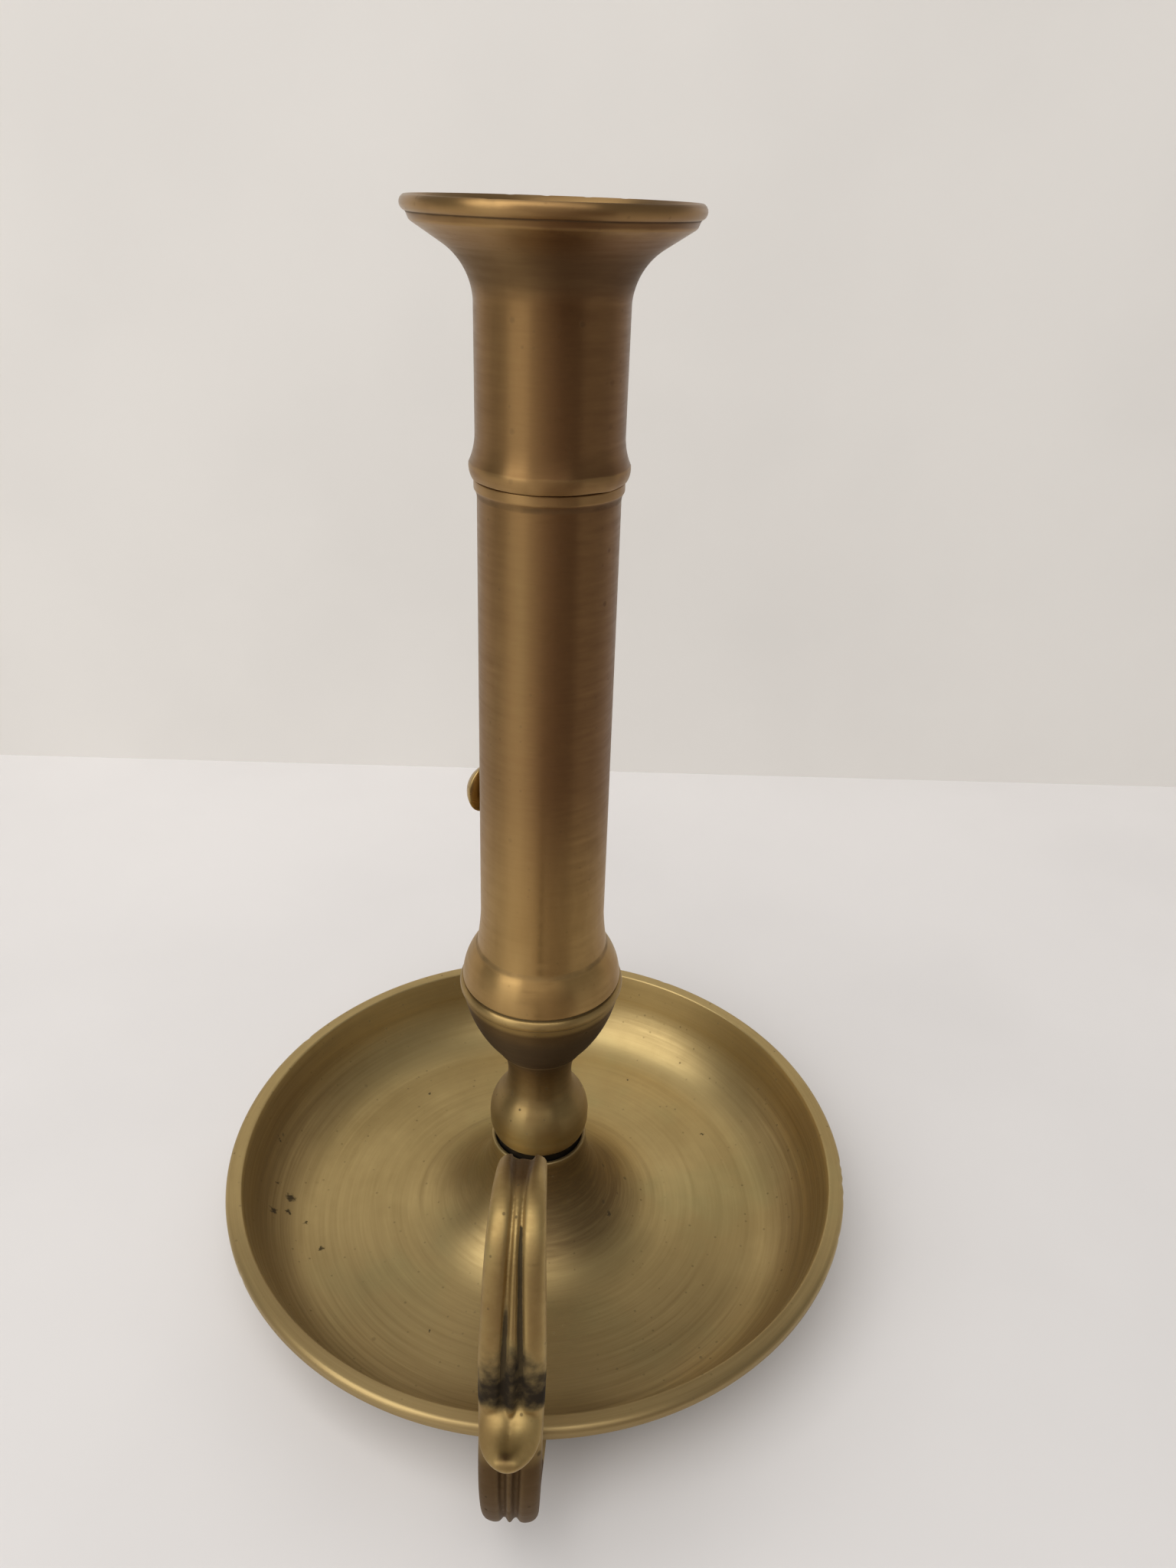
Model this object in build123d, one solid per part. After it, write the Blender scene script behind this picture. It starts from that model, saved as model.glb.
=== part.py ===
"""Brass chamberstick: a turned drip pan and stem, a candle tube with a sliding ejector,
a flared nozzle and a cast finger loop on the pan's edge.

Millimetres, +Z up. The origin is on the stem's axis, on the surface that the pan stands on.
The finger loop points along -Y.
"""
import os
from math import asin, atan2, cos, degrees, radians, sin, sqrt

from build123d import *

# Cuts run this far past the faces that they open
overrun = 1.0
# Faces that are fitted together and stay together
seat_gap = 0.1
# Faces that slide past each other
slide_gap = 0.3

# Drip pan
pan_radius = 70.6
pan_height = 20.5
rim_width = 3.4
rim_depth = 2.4
rim_tuck = 0.7
rim_round = 1.2
wall_thickness = 1.7
wall_lean = 2.1
wall_drop = 6.0
wall_run = 15.0
wall_sweep = 3.2
wall_back_sweep = 3.9
floor_height = 3.0
floor_thickness = 2.2
foot_inset = 3.0
foot_width = 14.0

# Dome in the middle of the pan, with the lip that the stem sits in
dome_radius = 27.8
dome_step = 0.35
dome_sweep = 3.9
lip_radius = 10.9
lip_wall = 0.9
lip_top = 24.3
lip_height = 1.3
lip_depth = 2.3
crown_thickness = 3.4
hollow_radius = 26.6
hollow_seat = 10.2
hollow_sweep = 2.7

# Stem, from its stud to the spigot in the tube
stud_radius = 4.0
stud_length = 11.6
bedding_height = 4.2
foot_seat = 10.1
foot_radius = 11.1
foot_band = 4.1
foot_swell = 0.35
bell_height = 8.6
bell_swell = 1.15
neck_radius = 7.7
neck_height = 11.9
neck_flare = 1.4
neck_sweep = 1.2
ridge_width = 0.5
cup_height = 16.0
cup_radius = 16.8
cup_swell = 1.25
bead_height = 2.3
bead_swell = 0.55
groove_depth = 0.6
groove_height = 0.6
spigot_height = 8.0

# What draws the stem down on the pan
washer_radius = 8.5
washer_thickness = 1.2
nut_width = 13.0
nut_height = 5.5
nut_corner = 1.2

# Candle tube
tube_radius = 12.45
tube_bore = 11.0
tube_top = 174.8
shoulder_radius = 16.7
shoulder_height = 8.3
shoulder_swell = 0.65
swelling_radius = 13.4
swelling_height = 7.4
swelling_bow = 0.2
collar_radius = 13.05
collar_height = 3.3
collar_slope = 1.7
collar_hollow = 0.15
joint_wall = 0.8
joint_height = 8.0

# Nozzle
nozzle_radius = 12.7
nozzle_bore = 11.4
ring_radius = 13.6
ring_edge = 0.35
ring_rise = 2.0
ring_round = 0.15
ring_cove = 5.7
ring_hollow = 0.3
barrel_height = 21.4
flare_rise = 6.5
flare_reach = 4.6
flare_hollow = 1.15
drip_rise = 4.6
drip_radius = 22.9
drip_edge = 2.7
drip_round = 0.9
drip_fall = 0.7
drip_width = 1.4
mouth_radius = 13.6
mouth_rise = 3.9
mouth_round = 0.5
mouth_depth = 11.0

# Ejector, at the height where the knob stands in its slot
knob_angle = 143.4
knob_rest = 19.3
slot_rise = 19.8
slot_margin = 8.8
slot_width = 4.6
pin_radius = 2.0
pin_reach = 4.6
flange_radius = 3.4
flange_thickness = 1.2
knob_radius = 5.3
knob_neck = 3.0
knob_neck_length = 1.5
knob_edge = 1.1
knob_edge_round = 0.28
knob_dome = 3.4
lifter_wall = 1.0
lifter_floor = 1.5
lifter_above = 9.5
lifter_below = 6.5

# Leaf spring that holds the lifter where it is put, on the side away from the knob
spring_width = 4.4
spring_thickness = 0.4
spring_foot = 3.0
spring_length = 12.8
spring_bow = 1.1
window_width = 5.4
window_slack = 0.8
rivet_radius = 0.8
rivet_head = 1.4
rivet_head_height = 0.6

# Finger loop: a strap that leaves the pan's wall, rises outside the rim and curls over the pan
loop_span = 33.0
loop_height = 61.0
loop_foot = 12.0
strap_width = 11.0
strap_depth = 4.4
roll_radius = 2.7
root_length = 5.0
spur_length = 11.4
spur_width = 10.2
spur_depth = 5.6
# Along the strap from its curled end: out from the rim, up from the foot, width, depth
strap_shares = [
    (-0.500, 0.655, 0.48, 0.62),
    (-0.608, 0.690, 0.55, 0.70),
    (-0.650, 0.765, 0.64, 0.78),
    (-0.580, 0.875, 0.75, 0.86),
    (-0.385, 0.970, 0.80, 0.92),
    (-0.145, 1.000, 0.83, 0.95),
    (0.040, 0.967, 0.86, 0.97),
    (0.140, 0.885, 0.90, 1.00),
    (0.200, 0.780, 0.95, 1.00),
    (0.255, 0.665, 1.00, 1.00),
    (0.272, 0.555, 0.96, 1.00),
    (0.310, 0.450, 0.93, 1.00),
    (0.345, 0.335, 0.95, 1.00),
    (0.340, 0.220, 0.93, 1.00),
    (0.285, 0.110, 0.87, 1.02),
    (0.180, 0.030, 0.84, 1.08),
    (0.060, 0.004, 0.95, 1.20),
    (-0.130, 0.020, 1.38, 1.70),
]
# Across the strap, in half widths and depths: starts and middles of the arcs round its outline
section_shares = [
    (-0.78, -0.42), (0.00, -0.50),
    (0.78, -0.42), (1.00, -0.06),
    (0.80, 0.30), (0.54, 0.50),
    (0.24, 0.24), (0.00, 0.48),
    (-0.24, 0.24), (-0.54, 0.50),
    (-0.80, 0.30), (-1.00, -0.06),
]
# Along the spur: out from the rim, up from the foot, width, depth
spur_root_shares = (0.255, 0.475)
spur_shares = [
    (0.00, 0.00, 0.96, 1.20),
    (0.48, -0.06, 1.00, 0.84),
    (0.80, 0.03, 0.70, 0.56),
    (1.00, 0.13, 0.26, 0.26),
]
keel_shares = [
    (-1.00, 0.05), (0.00, -0.50),
    (1.00, 0.05), (0.52, 0.36),
    (0.00, 0.50), (-0.52, 0.36),
]

# Screws from inside the pan into the finger loop's foot
screw_radius = 1.4
screw_drop = 6.1
screw_spread = 3.1
screw_grip = 4.0
screw_head = 2.4
screw_head_height = 1.2
screw_head_taper = 11.0
screw_slot_width = 0.6
screw_slot_depth = 0.5

# Heights and radii that follow from the sizes above
rim_inner = pan_radius - rim_width
wall_foot = pan_height - wall_drop
floor_radius = rim_inner - wall_lean - wall_run
foot_outer = floor_radius - foot_inset
foot_inner = foot_outer - foot_width
lip_bore = lip_radius - lip_wall
recess_floor = lip_top - lip_depth
crown_seat = recess_floor - crown_thickness
foot_height = recess_floor + bedding_height
bell_base = foot_height + foot_band
neck_base = bell_base + bell_height
neck_end = neck_base + neck_height
cup_end = neck_end + ridge_width + cup_height
bead_end = cup_end + bead_height
stem_top = bead_end + groove_height
spigot_radius = tube_bore - seat_gap
joint_radius = tube_bore + joint_wall
joint_end = tube_top + joint_height
cove_end = tube_top + ring_rise + ring_cove
barrel_end = cove_end + barrel_height
drip_start = barrel_end + flare_rise
drip_end = drip_start + drip_rise
nozzle_top = drip_end + drip_edge
slot_bottom = stem_top + slot_rise
slot_top = tube_top - slot_margin
knob_height = slot_bottom + knob_rest
lifter_radius = tube_bore - slide_gap
lifter_bore = lifter_radius - lifter_wall
knob_seat = tube_radius + slide_gap
flange_face = sqrt(lifter_bore**2 - flange_radius**2) - seat_gap
spring_face = sqrt(lifter_bore**2 - (spring_width / 2) ** 2) - seat_gap
wall_angle = degrees(atan2(wall_lean, wall_drop))


def outline_face(points):
    """Face inside a closed run of points (x, y) or (x, y, bulge).

    The run goes anticlockwise. A bulge is the rise of the arc that leads to its point:
    above zero it swells out of the face, below zero it hollows into it.
    """
    edges = []
    for start, end in zip(points, points[1:] + points[:1]):
        if len(end) == 3:
            edges.append(SagittaArc(start[:2], end[:2], -end[2]))
        else:
            edges.append(Line(start[:2], end[:2]))
    return make_face(edges)


def turned(points):
    """Solid turned about the Z axis from a half outline of (radius, height) points."""
    return revolve(Plane.XZ * outline_face(points), Axis.Z)


def facing_knob(distance):
    """Plane across the knob's axis, at a distance from the tube's axis, facing outwards."""
    out_x, out_y = cos(radians(knob_angle)), sin(radians(knob_angle))
    origin = (distance * out_x, distance * out_y, knob_height)
    return Plane(origin=origin, x_dir=(-out_y, out_x, 0), z_dir=(out_x, out_y, 0)).location


def pan_outside(gap):
    """Outer wall of the pan from its foot to the rim's top, moved out by a gap."""
    return [
        (foot_outer + gap, 0),
        (rim_inner - wall_lean + wall_thickness + gap, wall_foot, wall_back_sweep),
        (rim_inner + wall_thickness + gap, pan_height - rim_depth - rim_tuck),
        (pan_radius + gap, pan_height - rim_depth),
        (pan_radius + gap, pan_height - rim_round),
        (pan_radius + gap - rim_round, pan_height, rim_round * (1 - sqrt(0.5))),
    ]


def screw_places():
    """Planes on the pan's inner wall that face inwards, one for each screw of the finger loop."""
    height = pan_height - screw_drop
    radius = rim_inner - wall_lean * screw_drop / wall_drop
    turn = degrees(asin(screw_spread / radius))
    return [
        Rot(0, 0, side * turn) * Pos(0, -radius, height) * Rot(wall_angle - 90, 0, 0)
        for side in (-1, 1)
    ]


def make_drip_pan():
    """Turned pan: flat rim, leaning wall, flat floor and a trumpet-shaped dome with a lip."""
    pan = turned(
        [(foot_inner, 0)]
        + pan_outside(0)
        + [
            (rim_inner, pan_height),
            (rim_inner - wall_lean, wall_foot),
            (floor_radius, floor_height, -wall_sweep),
            (dome_radius, floor_height),
            (dome_radius, floor_height + dome_step),
            (lip_radius, lip_top - lip_height, -dome_sweep),
            (lip_radius, lip_top),
            (lip_bore, lip_top),
            (lip_bore, recess_floor),
            (stud_radius + seat_gap, recess_floor),
            (stud_radius + seat_gap, crown_seat),
            (hollow_seat, crown_seat),
            (hollow_radius, floor_height - floor_thickness, hollow_sweep),
            (foot_inner, floor_height - floor_thickness),
        ]
    )
    for place in screw_places():
        hole = Cylinder(screw_radius + seat_gap, wall_thickness * 2 + overrun)
        pan -= place * hole
    return pan


def make_bedding_ring():
    """Ring that beds the stem's foot in the dome's lip."""
    ring = Cylinder(lip_bore - slide_gap, bedding_height)
    ring -= Cylinder(stud_radius + seat_gap, bedding_height)
    return Pos(0, 0, recess_floor + bedding_height / 2) * ring


def make_stem():
    """Turned baluster: stud, foot bead, bell, neck, cup, bead ring and spigot."""
    return turned(
        [
            (0, recess_floor - stud_length),
            (stud_radius, recess_floor - stud_length),
            (stud_radius, foot_height),
            (foot_seat, foot_height),
            (foot_radius, bell_base, foot_swell),
            (neck_radius, neck_base, bell_swell),
            (neck_radius + neck_flare, neck_end, -neck_sweep),
            (neck_radius + neck_flare + ridge_width, neck_end),
            (neck_radius + neck_flare + ridge_width, neck_end + ridge_width),
            (cup_radius, cup_end, cup_swell),
            (cup_radius, bead_end, bead_swell),
            (cup_radius - groove_depth, bead_end),
            (cup_radius - groove_depth, stem_top),
            (spigot_radius, stem_top),
            (spigot_radius, stem_top + spigot_height),
            (0, stem_top + spigot_height),
        ]
    )


def make_stem_washer():
    """Flat washer against the dome's crown, inside the hollow."""
    ring = Cylinder(washer_radius, washer_thickness)
    ring -= Cylinder(stud_radius + seat_gap, washer_thickness)
    return Pos(0, 0, crown_seat - washer_thickness / 2) * ring


def make_stem_nut():
    """Square nut with its corners taken off."""
    blank = extrude(chamfer(Rectangle(nut_width, nut_width).vertices(), nut_corner), nut_height)
    nut = blank - extrude(Circle(stud_radius + seat_gap), nut_height)
    return Pos(0, 0, crown_seat - washer_thickness - nut_height) * nut


def make_candle_tube():
    """Tube with a rounded shoulder, a collar and a joint at its top, and the knob's slot."""
    tube = turned(
        [
            (tube_bore, stem_top),
            (shoulder_radius, stem_top),
            (swelling_radius, stem_top + shoulder_height, shoulder_swell),
            (tube_radius, stem_top + shoulder_height + swelling_height, swelling_bow),
            (tube_radius, tube_top - collar_height),
            (collar_radius, tube_top - collar_height + collar_slope, -collar_hollow),
            (collar_radius, tube_top),
            (joint_radius, tube_top),
            (joint_radius, joint_end),
            (tube_bore, joint_end),
        ]
    )
    slot = SlotOverall(slot_top - slot_bottom, slot_width, rotation=90)
    middle = (slot_top + slot_bottom) / 2 - knob_height
    cut = facing_knob(0) * Pos(0, middle) * extrude(slot, shoulder_radius + overrun)
    return tube - cut


def make_nozzle():
    """Upper barrel with a ring at its lower edge and a flared lip that catches drips."""
    return turned(
        [
            (joint_radius + seat_gap / 2, tube_top),
            (ring_radius - ring_edge, tube_top),
            (ring_radius, tube_top + ring_rise, ring_round),
            (nozzle_radius, cove_end, -ring_hollow),
            (nozzle_radius, barrel_end),
            (nozzle_radius + flare_reach, drip_start, -flare_hollow),
            (drip_radius, drip_end),
            (drip_radius, nozzle_top, drip_round),
            (drip_radius - drip_width, nozzle_top - drip_fall),
            (mouth_radius, nozzle_top - mouth_depth + mouth_rise),
            (nozzle_bore, nozzle_top - mouth_depth, mouth_round),
            (nozzle_bore, joint_end + slide_gap),
            (joint_radius + seat_gap / 2, joint_end + slide_gap),
        ]
    )


def make_ejector_knob():
    """Domed button on a short neck, bored for the stud."""
    edge_start = knob_neck_length
    dome_start = edge_start + knob_edge
    sphere = (knob_radius**2 + knob_dome**2) / (2 * knob_dome)
    swell = sphere - sqrt(sphere * (sphere + sphere - knob_dome) / 2)
    knob = turned(
        [
            (0, 0),
            (knob_neck, 0),
            (knob_neck, edge_start),
            (knob_radius, dome_start, knob_edge_round),
            (0, dome_start + knob_dome, swell),
        ]
    )
    bore = extrude(Circle(pin_radius + seat_gap), pin_reach)
    return facing_knob(knob_seat) * (knob - bore)


def make_ejector_stud():
    """Pin through the slot, with a flange inside the lifter's skirt."""
    length = knob_seat + pin_reach - slide_gap - flange_face
    pin = extrude(Circle(pin_radius), length)
    flange = extrude(Circle(flange_radius), -flange_thickness)
    return facing_knob(flange_face) * (pin + flange)


def make_lifter_cup():
    """Inverted cup that carries the candle's end, with a window for the spring in its skirt."""
    top = knob_height + lifter_above
    cup = turned(
        [
            (lifter_bore, knob_height - lifter_below),
            (lifter_radius, knob_height - lifter_below),
            (lifter_radius, top),
            (0, top),
            (0, top - lifter_floor),
            (lifter_bore, top - lifter_floor),
        ]
    )
    cup -= facing_knob(0) * extrude(Circle(pin_radius + seat_gap), lifter_radius + overrun)
    height = spring_length - 2 * spring_foot + 2 * window_slack
    window = Rectangle(window_width, height)
    away = facing_knob(0) * Pos(0, spring_middle())
    cup -= away * extrude(window, -lifter_radius - overrun)
    rivet_hole = extrude(Circle(rivet_radius + seat_gap), -lifter_radius - overrun)
    cup -= facing_knob(0) * Pos(0, rivet_place()) * rivet_hole
    return cup


def spring_middle():
    """Middle of the leaf spring, up from the knob's axis."""
    return (lifter_above - lifter_floor - lifter_below) / 2


def rivet_place():
    """Rivet through the spring's lower foot, up from the knob's axis."""
    return spring_middle() - spring_length / 2 + spring_foot / 2


def make_friction_spring():
    """Leaf spring: two flat feet on the skirt's inside and a bow that leans on the tube's bore."""
    foot = spring_length / 2
    bow = foot - spring_foot
    leaf = outline_face(
        [
            (spring_face - spring_thickness, -foot),
            (spring_face, -foot),
            (spring_face, -bow),
            (spring_face, bow, spring_bow),
            (spring_face, foot),
            (spring_face - spring_thickness, foot),
            (spring_face - spring_thickness, bow),
            (spring_face - spring_thickness, -bow, -spring_bow),
        ]
    )
    spring = extrude(Plane.XZ * leaf, spring_width / 2, both=True)
    spring = Rot(0, 0, knob_angle + 180) * Pos(0, 0, knob_height + spring_middle()) * spring
    hole = extrude(Circle(rivet_radius + seat_gap), -lifter_radius)
    return spring - facing_knob(0) * Pos(0, rivet_place()) * hole


def make_spring_rivet():
    """Rivet that holds the spring's lower foot to the lifter's skirt."""
    head_face = spring_face - spring_thickness
    shank = extrude(Circle(rivet_radius), head_face - lifter_radius + seat_gap)
    head = extrude(Circle(rivet_head), rivet_head_height)
    return facing_knob(-head_face) * Pos(0, rivet_place()) * (shank + head)


def arc_section(place, shares, width, depth):
    """Face on a plane, bounded by arcs whose starts and middles are shares of width and depth."""
    points = [(x * width / 2, y * depth) for x, y in shares]
    points.append(points[0])
    arcs = [ThreePointArc(*points[i : i + 3]) for i in range(0, len(shares), 2)]
    return place * make_face(arcs)


def stations(shares, start, spans, width, depth):
    """Stations (out, up, width, depth) along a run, from shares of its sizes."""
    return [
        (start[0] + out * spans[0], start[1] + up * spans[1], wide * width, deep * depth)
        for out, up, wide, deep in shares
    ]


def run_sections(run, shares):
    """Arc sections at the stations of a run, each across the run's heading."""
    sections = []
    for i, (out, up, width, depth) in enumerate(run):
        before = run[max(i - 1, 0)]
        after = run[min(i + 1, len(run) - 1)]
        heading = (0, before[0] - after[0], after[1] - before[1])
        place = Plane(origin=(0, -out, up), x_dir=(1, 0, 0), z_dir=heading)
        sections.append(arc_section(place, shares, width, depth))
    return sections


def make_finger_loop():
    """Cast strap with a rib between two grooves, a curled end and a spur for the thumb."""
    loop_start = (pan_radius, loop_foot)
    strap = stations(strap_shares, loop_start, (loop_span, loop_height), strap_width, strap_depth)
    spur_out, spur_up = spur_root_shares
    spur_start = (pan_radius + spur_out * loop_span, loop_foot + spur_up * loop_height)
    spur = stations(spur_shares, spur_start, (spur_length, spur_length), spur_width, spur_depth)
    curl_out, curl_up, curl_width, _ = strap[0]
    roll = Pos(0, -curl_out, curl_up) * Rot(0, 90, 0) * Cylinder(roll_radius, curl_width)
    sections = run_sections(strap, section_shares)
    root = extrude(sections[-1], root_length)
    loop = loft(sections) + root + loft(run_sections(spur, keel_shares)) + roll
    # The root's cheeks are filed down to the strap's width
    loop &= Box(strap_width, (pan_radius + loop_span) * 2, (loop_foot + loop_height) * 3)
    loop -= turned([(0, 0)] + pan_outside(seat_gap) + [(0, pan_height)])
    for place in screw_places():
        depth = wall_thickness + screw_grip + seat_gap
        loop -= place * extrude(Circle(screw_radius + seat_gap), -depth)
    return loop


def make_handle_screws():
    """Slotted round-head screws, put in from the inside of the pan."""
    length = wall_thickness + screw_grip
    head = extrude(Circle(screw_head), screw_head_height, taper=screw_head_taper)
    shank = extrude(Circle(screw_radius), -length)
    slot = Box(screw_head * 2 + overrun, screw_slot_width, screw_slot_depth * 2)
    screw = head + shank - Pos(0, 0, screw_head_height) * slot
    return Compound([place * Pos(0, 0, seat_gap) * screw for place in screw_places()])


pieces = {
    "drip_pan": make_drip_pan,
    "bedding_ring": make_bedding_ring,
    "stem": make_stem,
    "stem_washer": make_stem_washer,
    "stem_nut": make_stem_nut,
    "candle_tube": make_candle_tube,
    "nozzle": make_nozzle,
    "ejector_knob": make_ejector_knob,
    "ejector_stud": make_ejector_stud,
    "lifter_cup": make_lifter_cup,
    "friction_spring": make_friction_spring,
    "spring_rivet": make_spring_rivet,
    "finger_loop": make_finger_loop,
    "handle_screws": make_handle_screws,
}

os.makedirs("parts", exist_ok=True)
for name, make in pieces.items():
    solid = make()
    export_step(solid, f"parts/{name}.step")
    print(f"{name}: {solid.volume:.0f} mm3")
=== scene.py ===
# %% [markdown]
# # A brass chamberstick
# A chamberstick is a candle holder that is carried: a wide pan catches the drips, and a finger
# goes through a loop on the pan's edge. This one also has an ejector, a knob that slides up a slot
# and lifts the candle's stump. The exact solids come first, as a fixed frame in metres, and
# everything that follows is built around them.

from math import atan, ceil, cos, degrees, radians, sin, tau

import bmesh
import bpy
from mathutils import Matrix, Vector, noise


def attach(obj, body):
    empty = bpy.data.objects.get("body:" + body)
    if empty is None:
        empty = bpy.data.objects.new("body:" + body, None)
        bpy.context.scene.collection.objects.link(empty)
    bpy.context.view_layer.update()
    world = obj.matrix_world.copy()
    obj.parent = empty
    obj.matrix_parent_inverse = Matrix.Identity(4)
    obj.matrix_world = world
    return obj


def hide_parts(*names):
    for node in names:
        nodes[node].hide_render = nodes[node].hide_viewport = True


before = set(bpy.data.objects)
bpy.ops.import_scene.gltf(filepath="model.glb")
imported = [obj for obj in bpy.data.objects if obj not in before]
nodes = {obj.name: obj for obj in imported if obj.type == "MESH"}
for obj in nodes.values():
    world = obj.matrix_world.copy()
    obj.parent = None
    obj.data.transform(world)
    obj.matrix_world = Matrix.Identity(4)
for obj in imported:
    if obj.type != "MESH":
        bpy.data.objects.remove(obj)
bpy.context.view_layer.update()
mm = 0.001

# %% [markdown]
# ## Drawing with a lathe in mind
# Pan, stem, tube and nozzle are turned: each is one half outline, spun about the axis. A template
# maker draws such an outline with a ruler and a compass, and so do these helpers. A straight run
# is an extruded vertex, and an arc is a vertex that is spun about the arc's centre. A table of many
# points would give the same curve, but a compass keeps it round and easy to change.

# %% Ruler and compass
arc_step = 0.45 * mm


def draw_arc(bm, pen, target, rise):
    """Spins the pen about an arc's centre to the target; above zero the arc swells outwards."""
    chord = target - pen.co
    half = chord.length / 2
    outwards = Vector((chord.z, 0, -chord.x)).normalized()
    radius = (half**2 + rise**2) / (2 * rise)
    centre = (pen.co + target) / 2 + outwards * (rise - radius)
    turn = 4 * atan(rise / half)
    steps = max(4, ceil(abs(turn * radius) / arc_step))
    spun = bmesh.ops.spin(
        bm, geom=[pen], axis=(0, -1, 0), cent=centre, angle=turn, steps=steps, use_merge=False
    )
    return spun["geom_last"][0]


def draw_outline(bm, points, closed=True):
    """Draws a half outline through (radius, height) points in millimetres, from the first on.

    A third number is the rise of the arc that leads to its point.
    """
    first = pen = bm.verts.new((points[0][0] * mm, 0, points[0][1] * mm))
    for radius, height, *rise in points[1:]:
        target = Vector((radius * mm, 0, height * mm))
        if rise:
            pen = draw_arc(bm, pen, target, rise[0] * mm)
        else:
            pen = bmesh.ops.extrude_vert_indiv(bm, verts=[pen])["verts"][0]
            pen.co = target
    if closed:
        bm.edges.new((pen, first))


print("arcs are drawn in steps of", round(arc_step / mm, 2), "mm")

# %% [markdown]
# ## Soft corners and a full turn
# No edge on an old brass piece is sharp: polishing has rounded it, and the rounding is what catches
# the light as a thin bright line. A bevel on the outline's corners does this before the spin, when
# each corner is still a single vertex. The spin then closes on itself, and the doubles on the axis
# are merged.

# %% Corners and spin
corner_turn = radians(24)


def turn_at(vert):
    """Angle by which an outline turns at a vertex."""
    before, after = [edge.other_vert(vert).co for edge in vert.link_edges]
    return (vert.co - before).angle(after - vert.co, 0)


def soften_corners(bm, size):
    """Rounds each corner of an outline, as far as the runs beside it leave room."""
    corners = [
        v for v in bm.verts if len(v.link_edges) == 2 and v.co.x > 0 and turn_at(v) > corner_turn
    ]
    for corner in corners:
        room = min(edge.calc_length() for edge in corner.link_edges)
        bmesh.ops.bevel(
            bm, geom=[corner], offset=min(size, 0.45 * room), offset_type="OFFSET",
            segments=3, profile=0.5, affect="VERTICES", material=-1,
        )


def split_long_runs(bm, longest):
    """Divides the outline's straight runs, so that the surface can be worked on along them."""
    for edge in list(bm.edges):
        cuts = int(edge.calc_length() / longest)
        if cuts:
            bmesh.ops.subdivide_edges(bm, edges=[edge], cuts=cuts)


def spin_outline(bm, segments):
    """Turns the outline about the Z axis into a closed shell whose faces point outwards."""
    bmesh.ops.spin(
        bm, geom=bm.verts[:] + bm.edges[:], axis=(0, 0, 1), cent=(0, 0, 0),
        angle=tau, steps=segments, use_merge=True,
    )
    bmesh.ops.remove_doubles(bm, verts=bm.verts[:], dist=0.001 * mm)
    bmesh.ops.recalc_face_normals(bm, faces=bm.faces[:])


def turned(points, corner, longest, segments):
    """A bmesh turned from a half outline, which is left open where it starts on the axis."""
    bm = bmesh.new()
    draw_outline(bm, points, closed=points[0][0] > 0)
    soften_corners(bm, corner * mm)
    split_long_runs(bm, longest * mm)
    spin_outline(bm, segments)
    return bm


print("corners that turn by more than", round(degrees(corner_turn)), "degrees are rounded")

# %% [markdown]
# ## Where brass wears and where grime stays
# Hands and cloths keep the outer edges bright, and polish and dirt stay in the inner corners. Both
# can be read from the mesh: a ridge has edges that fold outwards, a corner has edges that fold
# inwards. The measure is kept as an attribute on the vertices, so that a material can use it and
# it travels with the piece.

# %% Measure ridges and hollows, and finish a piece
fold_reach = radians(16)


def mark_folds(bm, passes, reach=fold_reach):
    """Stores on each vertex how far the surface folds: 1 on a ridge, -1 in a hollow."""
    fold = bm.verts.layers.float.new("fold")
    for vert in bm.verts:
        angles = [e.calc_face_angle_signed(0) for e in vert.link_edges if e.is_manifold]
        vert[fold] = max(-1, min(1, sum(angles) / max(len(angles), 1) * 2 / reach))
    for _ in range(passes):
        spread = [
            sum(e.other_vert(v)[fold] for e in v.link_edges) / len(v.link_edges) for v in bm.verts
        ]
        for vert, around in zip(bm.verts, spread):
            vert[fold] = (vert[fold] + around) / 2


def finish_piece(bm, name, body, node):
    """Makes an object of a bmesh, which stands for a node and rides on its body."""
    mesh = bpy.data.meshes.new(name)
    bm.to_mesh(mesh)
    bm.free()
    mesh.shade_smooth()
    piece = bpy.data.objects.new(name, mesh)
    bpy.context.scene.collection.objects.link(piece)
    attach(piece, body)
    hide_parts(node)
    shading = piece.modifiers.new("even_shading", "WEIGHTED_NORMAL")
    shading.keep_sharp = True
    print(name, "made:", len(mesh.vertices), "vertices")
    return piece


print("an edge counts as a full fold from", round(degrees(fold_reach)), "degrees")

# %% [markdown]
# ## Drip pan
# The pan is cast and then turned: a flat rim, a wall that sweeps down into a flat floor, and a
# trumpet-shaped dome that ends in a thin lip. The rim has met many tables and shelves,
# so a few shallow dents are pressed into its outer edge once it is spun.

# %% Make the drip pan
pan_outline = [
    (33.1, 0.0), (47.1, 0.0),
    (66.8, 14.5, 3.9), (68.9, 17.4), (70.6, 18.1), (70.6, 19.3), (69.4, 20.5, 0.35), (67.2, 20.5),
    (65.1, 14.5), (50.1, 3.0, -3.2), (32.0, 3.0),
    (10.9, 23.0, -5.75), (10.9, 24.3), (10.0, 24.3), (10.0, 22.0), (4.1, 22.0),
    (4.1, 18.6), (10.2, 18.6), (26.6, 0.8, 2.7), (33.1, 0.8),
]
dent_drop = 0.4


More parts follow.
